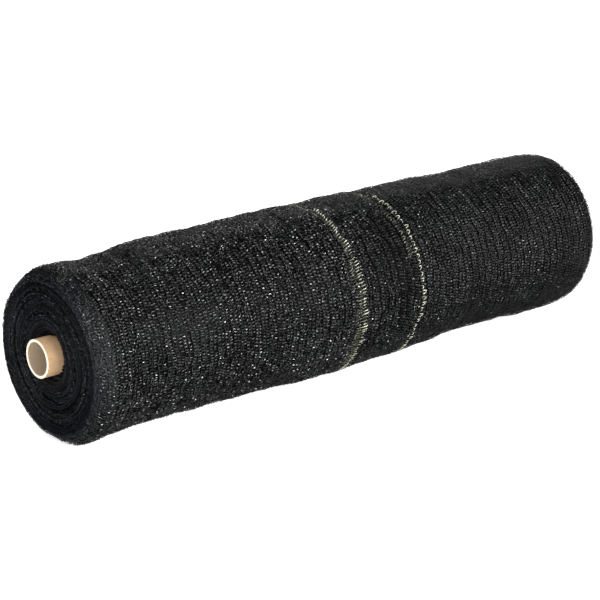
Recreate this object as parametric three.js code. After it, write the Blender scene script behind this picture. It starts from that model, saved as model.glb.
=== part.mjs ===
// A roll of knitted shade netting wound on a cardboard tube, lying on its side.
// Millimetres, +Z up. The roll's axis lies along X and its near end, with the recessed tube, is at -X.
// The netting is one solid of its wound form: uneven girth, wavy end faces and a small flat spot.

import * as THREE from 'three';

// Driving dimensions
const NET_LENGTH = 1000; // wound netting along the tube: a two metre width folded double
const NET_RADIUS = 129; // nominal radius that the end profiles are drawn at
const REST_DEPTH = 133; // from the tube's axis down to the flat spot
const TUBE_RADIUS = 29;
const TUBE_WALL = 4;
const TUBE_OVERHANG = 22; // how far the tube stands out of each end
const TUBE_CHAMFER = 0.7;
const BORE_GAP = 0.3; // between the tube and the first turn

// Detail
const ROLL_STEPS_ROUND = 60;
const TUBE_STEPS_ROUND = 48;
const SIDE_STATION_PITCH = 30;
const FAR_RIM_STEPS = 6;

// Angles are measured round the axis from straight up, towards the front (-Y).
// The upper girth was judged along the upper back of the roll and the lower one opposite it.
const UPPER_ANGLE = THREE.MathUtils.degToRad(-24);
const BACK_ANGLE = THREE.MathUtils.degToRad(-75);

// Radius of the wound netting: along, from the near end; upper and lower, at the two angles above.
const GIRTHS = [
  { along: 0, upper: 127, lower: 135 },
  { along: 30, upper: 130.5, lower: 137 },
  { along: 70, upper: 126, lower: 132 },
  { along: 110, upper: 128.5, lower: 128.5 },
  { along: 200, upper: 136, lower: 132 },
  { along: 300, upper: 136, lower: 132.5 },
  { along: 360, upper: 134.5, lower: 134 },
  { along: 420, upper: 136, lower: 136 },
  { along: 490, upper: 134, lower: 137 },
  { along: 560, upper: 135, lower: 136 },
  { along: 640, upper: 132, lower: 133 },
  { along: 730, upper: 130, lower: 126.5 },
  { along: 800, upper: 129, lower: 127 },
  { along: 890, upper: 129.5, lower: 132.5 },
  { along: 950, upper: 128.5, lower: 130 },
  { along: 1000, upper: 126, lower: 123 },
];

// Shallow lumps from uneven winding: height, length of one wave along the roll, waves round it, phase.
const LUMPS = [
  { height: 0.9, wave: 310, lobes: 2, phase: 0.4 },
  { height: 0.7, wave: 170, lobes: 3, phase: 2.1 },
  { height: 0.5, wave: 95, lobes: 1, phase: 4.0 },
];

// Near end: out is the share of the way from the tube to the rim; front and back are how far the face
// lies back from the roll's end on the front and on the far side of the roll.
// The turns leave a recess round the tube, stand in three raised bands, and step back at the rim.
const NEAR_FACE = [
  { out: 0.0, front: 11, back: 11 },
  { out: 0.06, front: 9, back: 9 },
  { out: 0.11, front: 1.5, back: 2 },
  { out: 0.2, front: 0, back: 1 },
  { out: 0.3, front: 2, back: 2 },
  { out: 0.45, front: 1, back: 0 },
  { out: 0.53, front: 6, back: 3 },
  { out: 0.61, front: 1.5, back: 0 },
  { out: 0.73, front: 0.5, back: -2 },
  { out: 0.8, front: 4, back: 0 },
  { out: 0.87, front: 3, back: -2 },
  { out: 0.94, front: 6, back: -1 },
  { out: 0.98, front: 11, back: 2 },
  { out: 1.0, front: 18, back: 8 },
];

// Far end, up to where its soft rim begins.
const FAR_FACE = [
  { out: 0.0, inset: 9 },
  { out: 0.07, inset: 7 },
  { out: 0.13, inset: 1 },
  { out: 0.27, inset: -1 },
  { out: 0.38, inset: 2.5 },
  { out: 0.52, inset: -1 },
  { out: 0.63, inset: 1 },
];
const FAR_RIM_HEIGHT = 30; // radial reach of the far end's soft rim
const FAR_RIM_LENGTH = 38; // its reach along the roll

// The turns of each end face wander in and out by this much as they go round.
const FACE_WANDER = 1.6;
const FACE_WANDER_LOBES = 3;

const BORE_RADIUS = TUBE_RADIUS + BORE_GAP;
const NET_THICKNESS = NET_RADIUS - BORE_RADIUS;

const netMaterial = new THREE.MeshStandardMaterial({ color: 0x1b1e1f, roughness: 0.55, metalness: 0 });
const tubeMaterial = new THREE.MeshStandardMaterial({ color: 0xc9a57c, roughness: 0.85, metalness: 0 });

// Share, from 0 to 1, of how near an angle round the axis is to another one.
function nearness(angle, other) {
  return 0.5 + 0.5 * Math.cos(angle - other);
}

// Smooth curve through four neighbouring values, at share t between the middle two.
function throughFour(before, start, end, after, t) {
  const startSlope = (end - before) / 2;
  const endSlope = (after - start) / 2;
  const bend = 2 * start - 2 * end + startSlope + endSlope;
  const lift = -3 * start + 3 * end - 2 * startSlope - endSlope;
  return ((bend * t + lift) * t + startSlope) * t + start;
}

// Value of a column of the girth table at a distance along the roll.
function girthColumn(column, along) {
  const last = GIRTHS.length - 1;
  const place = THREE.MathUtils.clamp(along, 0, NET_LENGTH);
  let row = 0;
  while (row < last - 1 && GIRTHS[row + 1].along < place) row += 1;
  const start = GIRTHS[row];
  const end = GIRTHS[row + 1];
  const before = GIRTHS[Math.max(row - 1, 0)];
  const after = GIRTHS[Math.min(row + 2, last)];
  const t = (place - start.along) / (end.along - start.along);
  return throughFour(before[column], start[column], end[column], after[column], t);
}

// Outer radius of the wound netting at a place along it and an angle round it.
function girth(along, angle) {
  const lower = girthColumn('lower', along);
  const upper = girthColumn('upper', along);
  let radius = THREE.MathUtils.lerp(lower, upper, nearness(angle, UPPER_ANGLE));
  for (const lump of LUMPS) {
    const turn = (2 * Math.PI * along) / lump.wave;
    radius += lump.height * Math.sin(turn + lump.lobes * angle + lump.phase);
  }
  return radius;
}

function facePoint(row, along) {
  return new THREE.Vector2(BORE_RADIUS + row.out * NET_THICKNESS, along);
}

// Closed half-section of the netting at its nominal radius: out over the near face, along the side,
// over the soft far rim, in over the far face and back through the bore.
function netSection() {
  const points = NEAR_FACE.map((row) => facePoint(row, row.front));
  const sideStart = NEAR_FACE[NEAR_FACE.length - 1].front;
  const sideEnd = NET_LENGTH - FAR_RIM_LENGTH;
  const stations = Math.round((sideEnd - sideStart) / SIDE_STATION_PITCH);
  for (let i = 1; i < stations; i += 1) {
    points.push(new THREE.Vector2(NET_RADIUS, THREE.MathUtils.lerp(sideStart, sideEnd, i / stations)));
  }
  for (let i = 0; i < FAR_RIM_STEPS; i += 1) {
    const turn = (i / FAR_RIM_STEPS) * (Math.PI / 2);
    const radius = NET_RADIUS - FAR_RIM_HEIGHT * (1 - Math.cos(turn));
    points.push(new THREE.Vector2(radius, sideEnd + FAR_RIM_LENGTH * Math.sin(turn)));
  }
  for (const row of [...FAR_FACE].reverse()) points.push(facePoint(row, NET_LENGTH - row.inset));
  points.push(points[0].clone());
  return points;
}

// Moves a point of the round netting to its uneven place. The row is its place in the half-section.
function settle(point, row) {
  const angle = Math.atan2(point.x, point.z);
  const radius = Math.hypot(point.x, point.z);
  const out = (radius - BORE_RADIUS) / NET_THICKNESS;
  const settled = BORE_RADIUS + out * (girth(point.y, angle) - BORE_RADIUS);
  let along = point.y;
  if (row < NEAR_FACE.length) {
    along += (NEAR_FACE[row].back - NEAR_FACE[row].front) * nearness(angle, BACK_ANGLE);
  }
  along += FACE_WANDER * Math.sin(Math.PI * out) * Math.sin(FACE_WANDER_LOBES * angle + 5 * out);
  point.set(settled * Math.sin(angle), along, Math.max(settled * Math.cos(angle), -REST_DEPTH));
}

function netGeometry() {
  const section = netSection();
  const geometry = new THREE.LatheGeometry(section, ROLL_STEPS_ROUND);
  const positions = geometry.getAttribute('position');
  const point = new THREE.Vector3();
  for (let i = 0; i < positions.count; i += 1) {
    point.fromBufferAttribute(positions, i);
    settle(point, i % section.length);
    positions.setXYZ(i, point.x, point.y, point.z);
  }
  geometry.rotateZ(-Math.PI / 2);
  return geometry;
}

// Cardboard tube with its cut edges slightly broken.
function tubeGeometry() {
  const length = NET_LENGTH + 2 * TUBE_OVERHANG;
  const inner = TUBE_RADIUS - TUBE_WALL;
  const section = [
    new THREE.Vector2(inner + TUBE_CHAMFER, 0),
    new THREE.Vector2(TUBE_RADIUS - TUBE_CHAMFER, 0),
    new THREE.Vector2(TUBE_RADIUS, TUBE_CHAMFER),
    new THREE.Vector2(TUBE_RADIUS, length - TUBE_CHAMFER),
    new THREE.Vector2(TUBE_RADIUS - TUBE_CHAMFER, length),
    new THREE.Vector2(inner + TUBE_CHAMFER, length),
    new THREE.Vector2(inner, length - TUBE_CHAMFER),
    new THREE.Vector2(inner, TUBE_CHAMFER),
    new THREE.Vector2(inner + TUBE_CHAMFER, 0),
  ];
  const geometry = new THREE.LatheGeometry(section, TUBE_STEPS_ROUND);
  geometry.rotateZ(-Math.PI / 2);
  geometry.translate(-TUBE_OVERHANG, 0, 0);
  return geometry;
}

function namedMesh(name, geometry, material) {
  const mesh = new THREE.Mesh(geometry, material);
  mesh.name = name;
  return mesh;
}

// The origin is under the middle of the roll, on the surface that it rests on.
const roll = new THREE.Group();
roll.add(namedMesh('net_roll', netGeometry(), netMaterial));
roll.add(namedMesh('core_tube', tubeGeometry(), tubeMaterial));
const bounds = new THREE.Box3().setFromObject(roll, true);
const centre = bounds.getCenter(new THREE.Vector3());
roll.position.set(-centre.x, -centre.y, -bounds.min.z);

export default roll;
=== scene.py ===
"""Dresses the roll of shade netting: knitted cover, wound ends, pale stripes and cardboard tube.

Sizes are in millimetres until a point is placed, when they become metres in the part's own frame.
Along is measured from the roll's near end, run is measured over the cover from its near edge, and
an angle goes round the tube's axis from straight up towards the front.
"""

from __future__ import annotations

import logging
import math
from collections.abc import Iterator
from contextlib import contextmanager
from dataclasses import dataclass, replace
from enum import Enum

import bpy
import numpy as np
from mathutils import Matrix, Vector

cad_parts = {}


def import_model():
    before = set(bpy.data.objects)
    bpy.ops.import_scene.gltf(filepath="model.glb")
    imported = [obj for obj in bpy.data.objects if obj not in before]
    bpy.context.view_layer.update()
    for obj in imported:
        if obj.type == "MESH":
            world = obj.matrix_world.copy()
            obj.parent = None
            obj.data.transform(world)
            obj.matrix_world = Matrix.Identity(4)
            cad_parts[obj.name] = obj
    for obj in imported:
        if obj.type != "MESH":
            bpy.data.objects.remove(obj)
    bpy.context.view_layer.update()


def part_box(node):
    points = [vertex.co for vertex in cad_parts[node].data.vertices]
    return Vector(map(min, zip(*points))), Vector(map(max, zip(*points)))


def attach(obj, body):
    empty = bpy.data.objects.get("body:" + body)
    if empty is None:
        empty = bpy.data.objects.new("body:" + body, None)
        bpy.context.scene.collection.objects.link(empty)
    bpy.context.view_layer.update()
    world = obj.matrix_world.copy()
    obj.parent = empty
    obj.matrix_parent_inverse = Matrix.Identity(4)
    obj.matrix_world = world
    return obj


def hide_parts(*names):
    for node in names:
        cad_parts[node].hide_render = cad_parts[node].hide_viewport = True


LOG = logging.getLogger("shade_roll")
MM = 0.001
FULL_TURN = 2 * math.pi
QUARTER_TURN = math.pi / 2
ROOT_BODY = "root"


class Slot(str, Enum):
    """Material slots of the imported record."""

    NETTING = "netting"
    STRIPE = "stripe"
    TUBE = "tube"


class End(Enum):
    """The two ends of the roll."""

    NEAR = "near"
    FAR = "far"


def nearness(angle: np.ndarray, other: float) -> np.ndarray:
    """Works out the share, from nought to one, of how near an angle is to another one."""
    return 0.5 + 0.5 * np.cos(angle - other)


def turned_by(first: np.ndarray, second: np.ndarray, angle: np.ndarray) -> tuple[np.ndarray, np.ndarray]:
    """Turns pairs of coordinates by an angle, from the first one's direction towards the second's."""
    cosine, sine = np.cos(angle), np.sin(angle)
    return first * cosine - second * sine, first * sine + second * cosine


def through_four(values: list[np.ndarray], share: np.ndarray) -> np.ndarray:
    """Draws a smooth curve between the middle two of four values that follow one another.

    Args:
        values: the four values at each place.
        share: share of the way from the second value to the third.

    Returns:
        The curve's value at each place.
    """
    before, start, end, after = values
    start_slope = (end - before) / 2
    end_slope = (after - start) / 2
    bend = 2 * start - 2 * end + start_slope + end_slope
    lift = -3 * start + 3 * end - 2 * start_slope - end_slope
    return ((bend * share + lift) * share + start_slope) * share + start


def soft_random(place: np.ndarray, seed: int) -> np.ndarray:
    """Reads a smooth random curve that runs between -1 and 1 with a new value at each whole step.

    Args:
        place: where the curve is read.
        seed: the random seed.

    Returns:
        The curve's value at each place.
    """
    start = math.floor(float(place.min()))
    table = np.random.default_rng(seed).uniform(-1, 1, int(place.max()) - start + 4)
    whole = np.floor(place).astype(int)
    part = place - whole
    ease = part * part * (3 - 2 * part)
    first, second = table[whole - start], table[whole - start + 1]
    return first + (second - first) * ease


@dataclass(frozen=True)
class Station:
    """One station of the roll's girth: radius along the upper back and along the lower front."""

    along: float
    upper: float
    lower: float


@dataclass(frozen=True)
class Lump:
    """A shallow wave in the girth from uneven winding."""

    height: float
    wave: float
    lobes: int
    phase: float


@dataclass(frozen=True)
class FaceRow:
    """One row of an end face: out runs from tube to rim, front and back are how far it lies back."""

    out: float
    front: float
    back: float


@dataclass(frozen=True)
class Drift:
    """How far the knit has wandered along the roll at an angle round it, in degrees."""

    angle: float
    shift: float


@dataclass(frozen=True)
class RollForm:
    """The wound form that every piece of netting is laid on.

    The overrun is how far the cover may go over the far rim, as a share of the rim's quarter turn,
    and least_cosine keeps the flat spot to the lower half.
    """

    centre_y: float
    centre_z: float
    near_x: float
    net_length: float = 1000
    nominal_radius: float = 129
    rest_depth: float = 133
    bore_radius: float = 29.3
    upper_angle: float = math.radians(-24)
    back_angle: float = math.radians(-75)
    far_rim_height: float = 30
    far_rim_length: float = 38
    far_rim_run: float = 53.8
    overrun: float = 1.15
    edge_fade: float = 80
    rim_tuck: float = 0.45
    drift_fade: float = 150
    drift_blend: float = 12
    drift_samples: int = 5
    wander: float = 1.6
    wander_lobes: int = 3
    wander_lag: float = 5
    least_cosine: float = 1e-3
    layer_step: float = 1.2
    free_end_angle: float = math.radians(9)
    floor_gap: float = 0.1
    stations: tuple[Station, ...] = (
        Station(0, 127, 135),
        Station(30, 130.5, 137),
        Station(70, 126, 132),
        Station(110, 128.5, 128.5),
        Station(200, 136, 132),
        Station(300, 136, 132.5),
        Station(360, 134.5, 134),
        Station(420, 136, 136),
        Station(490, 134, 137),
        Station(560, 135, 136),
        Station(640, 132, 133),
        Station(730, 130, 126.5),
        Station(800, 129, 127),
        Station(890, 129.5, 132.5),
        Station(950, 128.5, 130),
        Station(1000, 126, 123),
    )
    lumps: tuple[Lump, ...] = (
        Lump(0.9, 310, 2, 0.4),
        Lump(0.7, 170, 3, 2.1),
        Lump(0.5, 95, 1, 4.0),
        Lump(0.5, 47, 4, 1.1),
        Lump(0.5, -66, 7, 3.0),
        Lump(0.3, 31, 3, 5.2),
    )
    near_face: tuple[FaceRow, ...] = (
        FaceRow(0.0, 8, 11),
        FaceRow(0.05, 6, 9),
        FaceRow(0.1, 1.5, 2),
        FaceRow(0.2, 0, 1),
        FaceRow(0.3, 2, 2),
        FaceRow(0.45, 1, 0),
        FaceRow(0.53, 6, 3),
        FaceRow(0.61, 1.5, 0),
        FaceRow(0.73, 0.5, -2),
        FaceRow(0.8, 4, 0),
        FaceRow(0.87, 3, -2),
        FaceRow(0.94, 6, -1),
        FaceRow(0.98, 11, 2),
        FaceRow(1.0, 18, 8),
    )
    far_face: tuple[FaceRow, ...] = (
        FaceRow(0.0, 9, 9),
        FaceRow(0.07, 7, 7),
        FaceRow(0.13, 1, 1),
        FaceRow(0.27, -1, -1),
        FaceRow(0.38, 2.5, 2.5),
        FaceRow(0.52, -1, -1),
        FaceRow(0.63, 1, 1),
        FaceRow(0.72, 1, 1),
    )
    drifts: tuple[Drift, ...] = (
        Drift(-60, -12),
        Drift(10, -4.5),
        Drift(48, -1),
        Drift(75, 3),
        Drift(95, 4),
        Drift(125, -1),
        Drift(150, 3),
        Drift(200, 2),
        Drift(300, -12),
        Drift(380, -15),
    )

    @property
    def thickness(self) -> float:
        """Nominal depth of the winding from the tube to the rim."""
        return self.nominal_radius - self.bore_radius

    @property
    def side_end(self) -> float:
        """Where along the roll its soft far rim begins."""
        return self.net_length - self.far_rim_length

    @property
    def cover_inset(self) -> float:
        """How far the cover's near edge lies behind the roll's near end, on the front."""
        return self.near_face[-1].front

    @property
    def cover_run(self) -> float:
        """Length of the cover over the side and the far rim."""
        return self.side_end - self.cover_inset + self.far_rim_run

    def girth(self, along: np.ndarray, angle: np.ndarray) -> np.ndarray:
        """Works out the outer radius of the winding, flattened where it rests.

        Args:
            along: distance from the near end.
            angle: angle round the axis from straight up, in radians.

        Returns:
            The radius at each place.
        """
        upper = self._through([s.upper for s in self.stations], along)
        lower = self._through([s.lower for s in self.stations], along)
        radius = lower + (upper - lower) * nearness(angle, self.upper_angle)
        for lump in self.lumps:
            turn = FULL_TURN * along / lump.wave
            radius = radius + lump.height * np.sin(turn + lump.lobes * angle + lump.phase)
        down = np.maximum(-np.cos(angle), self.least_cosine)
        return np.minimum(radius, self.rest_depth / down)

    def _through(self, column: list[float], along: np.ndarray) -> np.ndarray:
        """Draws a smooth curve through one column of the stations.

        Args:
            column: the column's values.
            along: where the curve is read.

        Returns:
            The curve's value at each place.
        """
        values = np.array(column, float)
        places = np.array([s.along for s in self.stations], float)
        last = len(places) - 1
        spot = np.clip(along, 0, self.net_length)
        row = np.clip(np.searchsorted(places, spot, side="left") - 1, 0, last - 1)
        share = (spot - places[row]) / (places[row + 1] - places[row])
        return through_four([values[np.clip(row + k, 0, last)] for k in (-1, 0, 1, 2)], share)

    def settled(self, along: np.ndarray, out: np.ndarray, angle: np.ndarray) -> np.ndarray:
        """Works out the radius at a share of the way from the tube to the uneven rim."""
        return self.bore_radius + out * (self.girth(along, angle) - self.bore_radius)

    def wandering(self, out: np.ndarray, angle: np.ndarray) -> np.ndarray:
        """Works out how far a turn wanders along the roll as it goes round."""
        phase = self.wander_lobes * angle + self.wander_lag * out
        return self.wander * np.sin(math.pi * out) * np.sin(phase)

    def face_inset(self, end: End, out: np.ndarray, angle: np.ndarray) -> np.ndarray:
        """Works out how far an end face lies back from the roll's end.

        Args:
            end: which end of the roll.
            out: share of the way from the tube to the rim.
            angle: angle round the axis, in radians.

        Returns:
            The distance back, towards the middle of the roll.
        """
        rows = self.near_face if end is End.NEAR else self.far_face
        outs = [r.out for r in rows]
        front = np.interp(out, outs, [r.front for r in rows])
        back = np.interp(out, outs, [r.back for r in rows])
        return front + (back - front) * nearness(angle, self.back_angle)

    def drift(self, angle: np.ndarray) -> np.ndarray:
        """Works out how far the knit has wandered along the roll at each angle.

        Args:
            angle: angle round the axis, in radians.

        Returns:
            The distance along the roll.
        """
        degrees = np.degrees(angle)
        places = [d.angle for d in self.drifts]
        shifts = [d.shift for d in self.drifts]
        offsets = np.linspace(-self.drift_blend, self.drift_blend, self.drift_samples)
        return sum(np.interp(degrees + o, places, shifts) for o in offsets) / len(offsets)

    def place(self, along: np.ndarray, radius: np.ndarray, angle: np.ndarray) -> np.ndarray:
        """Turns roll coordinates into points of the part's frame, in metres.

        Args:
            along: distance from the near end.
            radius: distance from the axis.
            angle: angle round the axis from straight up, in radians.

        Returns:
            An array of points in metres.
        """
        x = self.near_x + along * MM
        y = self.centre_y - radius * np.sin(angle) * MM
        z = self.centre_z + radius * np.cos(angle) * MM
        return np.stack([x, y, np.maximum(z, self.floor_gap * MM)], axis=-1)

    def skin(self, run: np.ndarray, angle: np.ndarray, lift: np.ndarray) -> np.ndarray:
        """Places points on the cover, which runs along the side and over the soft far rim.

        Args:
            run: distance over the cover from its near edge.
            angle: angle round the axis from straight up, in radians; it goes past a full turn.
            lift: height over the winding's outer surface.

        Returns:
            An array of points in metres.
        """
        wound = (angle - self.free_end_angle) / FULL_TURN
        rise = lift - self.layer_step * wound
        behind = nearness(angle, self.back_angle)
        rim = self.near_face[-1]
        edge = (rim.back - rim.front) * behind * np.exp(-np.maximum(run, 0) / self.edge_fade)
        run = np.where(run < 0, run * (1 - self.rim_tuck * behind), run)
        middle = np.clip(run / self.drift_fade, 0, 1)
        middle = middle * np.clip((self.cover_run - run) / self.drift_fade, 0, 1)
        flat_run = self.cover_inset + run + edge + self.drift(angle) * middle
        over = np.clip((flat_run - self.side_end) / self.far_rim_run, 0, self.overrun) * QUARTER_TURN
        along = np.where(over > 0, self.side_end + self.far_rim_length * np.sin(over), flat_run)
        nominal = self.nominal_radius - self.far_rim_height * (1 - np.cos(over))
        out = (nominal - self.bore_radius) / self.thickness
        radius = self.settled(along, out, angle)
        along = along + self.wandering(out, angle)
        lean = np.arctan2(self.far_rim_height * np.sin(over), self.far_rim_length * np.cos(over))
        return self.place(along + rise * np.sin(lean), radius + rise * np.cos(lean), angle)


def read_points(mesh: bpy.types.Mesh) -> np.ndarray:
    """Reads a mesh's points as an array with a row for each.

    Args:
        mesh: the mesh to read.

    Returns:
        The points, in the mesh's own units.
    """
    flat = np.zeros(len(mesh.vertices) * 3)
    mesh.vertices.foreach_get("co", flat)
    return flat.reshape(-1, 3)


def write_points(mesh: bpy.types.Mesh, points: np.ndarray) -> None:
    """Writes an array of points back to a mesh."""
    mesh.vertices.foreach_set("co", np.ascontiguousarray(points, np.float32).ravel())
    mesh.update()


def write_values(mesh: bpy.types.Mesh, name: str, values: np.ndarray) -> None:
    """Stores one value for each point under an attribute's name."""
    layer = mesh.attributes.new(name, "FLOAT", "POINT")
    layer.data.foreach_set("value", np.ascontiguousarray(values, np.float32))


class Bench:
    """The few ways in which a piece is started, shaped and finished here."""

    WELD_GAP = 1e-6
    COPY_GAP = 0.01

    @staticmethod
    @contextmanager
    def editing(select_all: bool = True) -> Iterator[None]:
        """Holds the active object in edit mode, with all of it selected unless that is turned off.

        Args:
            select_all: whether everything is selected first.

        Returns:
            A context, which ends in object mode.
        """
        bpy.ops.object.mode_set(mode="EDIT")
        if select_all:
            bpy.ops.mesh.select_all(action="SELECT")
        yield
        bpy.ops.object.mode_set(mode="OBJECT")

    @staticmethod
    def pick(piece: bpy.types.Object) -> None:
        """Makes one object the only selected one and the active one.

        Args:
            piece: the object.
        """
        bpy.ops.object.select_all(action="DESELECT")
        piece.select_set(True)
        bpy.context.view_layer.objects.active = piece

    @staticmethod
    def named(name: str) -> bpy.types.Object:
        """Names the object that was just added, with its mesh.

        Args:
            name: the new name.

        Returns:
            The object.
        """
        piece = bpy.context.object
        piece.name = name
        piece.data.name = name
        return piece

    @staticmethod
    def select_points(mesh: bpy.types.Mesh, chosen: np.ndarray) -> None:
        """Selects only the chosen points of a mesh, with the edges and faces between them.

        Args:
            mesh: the mesh.
            chosen: whether each point is chosen.
        """
        chosen = np.asarray(chosen, bool)
        mesh.vertices.foreach_set("select", chosen)
        ends = np.zeros(len(mesh.edges) * 2, np.int32)
        mesh.edges.foreach_get("vertices", ends)
        mesh.edges.foreach_set("select", chosen[ends.reshape(-1, 2)].all(axis=1))
        mesh.polygons.foreach_set("select", [all(chosen[v] for v in f.vertices) for f in mesh.polygons])

    @staticmethod
    def join(pieces: list[bpy.types.Object], name: str) -> bpy.types.Object:
        """Joins pieces into one object and names it.

        Args:
            pieces: the pieces to join.
            name: the joined object's name.

        Returns:
            The joined object.
        """
        bpy.ops.object.select_all(action="DESELECT")
        for piece in pieces:
            piece.select_set(True)
        bpy.context.view_layer.objects.active = pieces[0]
        bpy.ops.object.join()
        return Bench.named(name)

    @staticmethod
    def repeat(
        piece: bpy.types.Object, count: int, step: tuple[float, float, float], weld: bool = False
    ) -> None:
        """Repeats a piece with an applied array.

        Args:
            piece: the piece to repeat.
            count: how many there are in all.
            step: the way from each to the next.
            weld: whether each is merged with the next.
        """
        Bench.pick(piece)
        array = piece.modifiers.new("repeat", "ARRAY")
        array.count = count
        array.use_relative_offset = False
        array.use_constant_offset = True
        array.constant_offset_displace = step
        array.use_merge_vertices = weld
        array.merge_threshold = Bench.COPY_GAP
        bpy.ops.object.modifier_apply(modifier=array.name)

    @staticmethod
    def face_out(piece: bpy.types.Object, weld: bool = False) -> None:
        """Turns a piece's faces outwards, after merging points that lie together if that is asked.

        Args:
            piece: the piece.
            weld: whether points that lie together are merged first.
        """
        Bench.pick(piece)
        with Bench.editing():
            if weld:
                bpy.ops.mesh.remove_doubles(threshold=Bench.WELD_GAP)
            bpy.ops.mesh.normals_make_consistent(inside=False)

    @staticmethod
    def finish(piece: bpy.types.Object, slot: Slot, node: str, material: bpy.types.Material) -> None:
        """Dresses a piece, rides it on the body and hides the solid it stands for.

        Args:
            piece: the finished piece.
            slot: the record's material slot; not used.
            node: the solid that the piece replaces.
            material: the piece's finish.
        """
        piece.data.materials.clear()
        piece.data.materials.append(material)
        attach(piece, ROOT_BODY)
        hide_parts(node)
        piece.data.calc_loop_triangles()
        LOG.info("%s: %d triangles", piece.name, len(piece.data.loop_triangles))


@dataclass(frozen=True)
class SpunSheet:
    """A straight section spun round the axis, with each point's row in it and share of the turn."""

    piece: bpy.types.Object
    row: np.ndarray
    share: np.ndarray

    @classmethod
    def make(cls, name: str, rows: int, steps: int) -> SpunSheet:
        """Extrudes one point into a section with a number of rows and spins it once round.

        Args:
            name: the piece's name.
            rows: points in the section.
            steps: steps of the turn.

        Returns:
            The sheet, whose first and last columns lie together.
        """
        bpy.ops.object.select_all(action="DESELECT")
        bpy.ops.mesh.primitive_plane_add(size=1)
        piece = Bench.named(name)
        with Bench.editing():
            bpy.ops.mesh.merge(type="CENTER")
            bpy.ops.transform.translate(value=(0, 0, 1))
            for _ in range(rows - 1):
                bpy.ops.mesh.extrude_vertices_move(TRANSFORM_OT_translate={"value": (1, 0, 0)})
            bpy.ops.mesh.select_all(action="SELECT")
            bpy.ops.mesh.spin(
                steps=steps, angle=FULL_TURN, center=(0, 0, 0), axis=(1, 0, 0), use_auto_merge=False
            )
        points = read_points(piece.data)
        share = (np.arange(len(points)) // rows) / steps
        return cls(piece, np.rint(points[:, 0]).astype(int), share)

    def lay(self, points: np.ndarray) -> bpy.types.Object:
        """Moves the sheet's points to their places and closes its seam.

        Args:
            points: a place for each point, in metres.

        Returns:
            The sheet's object.
        """
        write_points(self.piece.data, points)
        Bench.face_out(self.piece, weld=True)
        return self.piece


class ShaderBench:
    """Adds and links nodes in one material or node group."""

    def __init__(self, tree: bpy.types.NodeTree) -> None:
        """Starts on an existing tree."""
        self.tree = tree

    @classmethod
    def start(cls, name: str) -> tuple[ShaderBench, bpy.types.Material, bpy.types.Node]:
        """Starts a material with its own bench.

        Args:
            name: the material's name.

        Returns:
            The bench, the material and its shader.
        """
        material = bpy.data.materials.new(name)
        material.use_nodes = True
        return cls(material.node_tree), material, material.node_tree.nodes["Principled BSDF"]

    def add(self, kind: str, sockets: dict | None = None, **settings) -> bpy.types.Node:
        """Adds one node.

        Args:
            kind: the node's type name.
            sockets: input names or numbers, each with a constant or a socket to link from.
            **settings: properties of the node.

        Returns:
            The new node.
        """
        node = self.tree.nodes.new(kind)
        for name, value in settings.items():
            setattr(node, name, value)
        for name, value in (sockets or {}).items():
            self.feed(node.inputs[name], value)
        return node

    def feed(self, socket: bpy.types.NodeSocket, value: object) -> None:
        """Links a socket to an input, or sets the input's constant.

        Args:
            socket: the input.
            value: a constant, or a socket to link from.
        """
        if isinstance(value, bpy.types.NodeSocket):
            self.tree.links.new(value, socket)
        else:
            socket.default_value = value

    def noise(self, where: bpy.types.NodeSocket, scale: float, detail: float = 2.0) -> bpy.types.NodeSocket:
        """Adds a noise texture and returns its value."""
        node = self.add("ShaderNodeTexNoise", {"Vector": where, "Scale": scale, "Detail": detail})
        return node.outputs["Fac"]

    def ramp(self, value: bpy.types.NodeSocket, low: float, high: float) -> bpy.types.NodeSocket:
        """Maps a value between two limits onto nought to one."""
        node = self.add("ShaderNodeMapRange", {"Value": value, "From Min": low, "From Max": high})
        return node.outputs["Result"]

    def bump(self, height: bpy.types.NodeSocket, depth: float, strength: float) -> bpy.types.NodeSocket:
        """Turns a height into a bumped normal."""
        sockets = {"Strength": strength, "Distance": depth, "Height": height}
        return self.add("ShaderNodeBump", sockets).outputs["Normal"]

    def mix(self, share: bpy.types.NodeSocket, first: object, second: object) -> bpy.types.NodeSocket:
        """Mixes two colours by a share.

        Args:
            share: how much of the second colour is taken.
            first: a colour or a socket.
            second: a colour or a socket.

        Returns:
            The mixed colour's socket.
        """
        node = self.add("ShaderNodeMix", data_type="RGBA")
        self.feed(node.inputs[0], share)
        self.feed(node.inputs[6], first)
        self.feed(node.inputs[7], second)
        return node.outputs[2]

    def math(self, operation: str, *values: object) -> bpy.types.NodeSocket:
        """Adds a math node and returns its value."""
        return self.add("ShaderNodeMath", dict(enumerate(values)), operation=operation).outputs[0]


class Crinkle:
    """The fine crinkle and the dust of plastic tape, shared by the black and the pale tape."""

    NAME = "tape_crinkle"
    DUST_SCALE = 14.0
    DUST_DETAIL = 3.0
    DUST_LIMITS = (0.35, 0.7)

    @classmethod
    def group(cls) -> bpy.types.NodeTree:
        """Gives the node group, which is built the first time it is asked for.

        Returns:
            The node group.
        """
        if cls.NAME in bpy.data.node_groups:
            return bpy.data.node_groups[cls.NAME]
        tree = bpy.data.node_groups.new(cls.NAME, "ShaderNodeTree")
        tree.interface.new_socket("Scale", in_out="INPUT", socket_type="NodeSocketFloat")
        tree.interface.new_socket("Height", in_out="OUTPUT", socket_type="NodeSocketFloat")
        tree.interface.new_socket("Dust", in_out="OUTPUT", socket_type="NodeSocketFloat")
        bench = ShaderBench(tree)
        entry = bench.add("NodeGroupInput")
        leave = bench.add("NodeGroupOutput")
        where = bench.add("ShaderNodeTexCoord").outputs["Object"]
        bench.feed(leave.inputs["Height"], bench.noise(where, entry.outputs["Scale"]))
        dust = bench.noise(where, cls.DUST_SCALE, cls.DUST_DETAIL)
        bench.feed(leave.inputs["Dust"], bench.ramp(dust, *cls.DUST_LIMITS))
        return tree


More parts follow.
